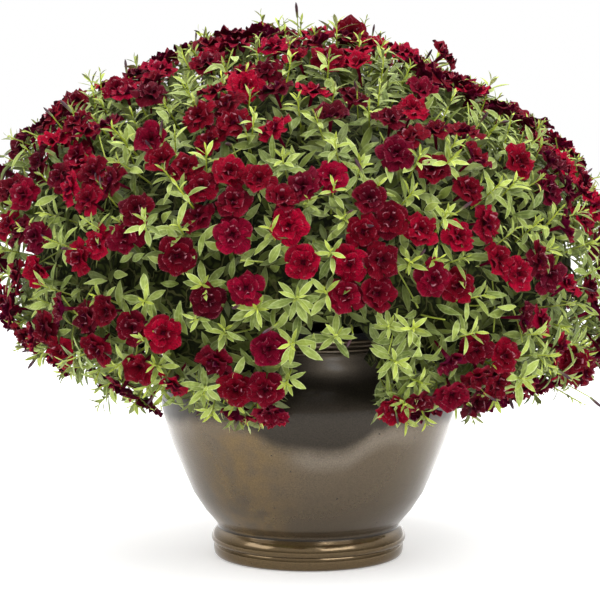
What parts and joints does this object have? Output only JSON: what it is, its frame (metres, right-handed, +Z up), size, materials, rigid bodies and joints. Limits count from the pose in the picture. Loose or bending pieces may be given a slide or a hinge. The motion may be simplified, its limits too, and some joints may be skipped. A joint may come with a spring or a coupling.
{
  "type": "potted calibrachoa",
  "caption": "Mounding double calibrachoa in full flower, spilling over the rim of a round glazed ceramic pot on a turned foot.",
  "frame": {"origin": "middle of the pot's flat underside, on the surface that it stands on", "axes": "+Z up along the pot's axis, -Y towards the front, where the foliage parts over the rim, +X to the right seen from the front"},
  "size_m": [0.5935, 0.5682, 0.4883],
  "materials": {
    "pot_glaze": "gloss",
    "soil": "matte",
    "foliage": "matte",
    "petals": "matte"
  },
  "bodies": {
    "root": {"blooms_01": "petals", "blooms_02": "petals", "blooms_03": "petals", "blooms_04": "petals", "blooms_05": "petals", "blooms_06": "petals", "blooms_07": "petals", "blooms_08": "petals", "blooms_09": "petals", "blooms_10": "petals", "blooms_11": "petals", "blooms_12": "petals", "blooms_13": "petals", "blooms_14": "petals", "blooms_15": "petals", "blooms_16": "petals", "blooms_17": "petals", "blooms_18": "petals", "blooms_19": "petals", "blooms_20": "petals", "blooms_21": "petals", "blooms_22": "petals", "blooms_23": "petals", "blooms_24": "petals", "blooms_25": "petals", "blooms_26": "petals", "blooms_27": "petals", "blooms_28": "petals", "blooms_29": "petals", "blooms_30": "petals", "blooms_31": "petals", "blooms_32": "petals", "blooms_33": "petals", "blooms_34": "petals", "blooms_35": "petals", "blooms_36": "petals", "blooms_37": "petals", "blooms_38": "petals", "blooms_39": "petals", "blooms_40": "petals", "blooms_41": "petals", "blooms_42": "petals", "blooms_43": "petals", "blooms_44": "petals", "blooms_45": "petals", "blooms_46": "petals", "blooms_47": "petals", "blooms_48": "petals", "blooms_49": "petals", "blooms_50": "petals", "leafy_stem_1": "foliage", "leafy_stem_2": "foliage", "leafy_stem_3": "foliage", "leafy_stem_4": "foliage", "leafy_stem_5": "foliage", "leafy_stem_6": "foliage", "leafy_stem_crown": "foliage", "pot": "pot_glaze", "soil": "soil"}
  },
  "joints": []
}
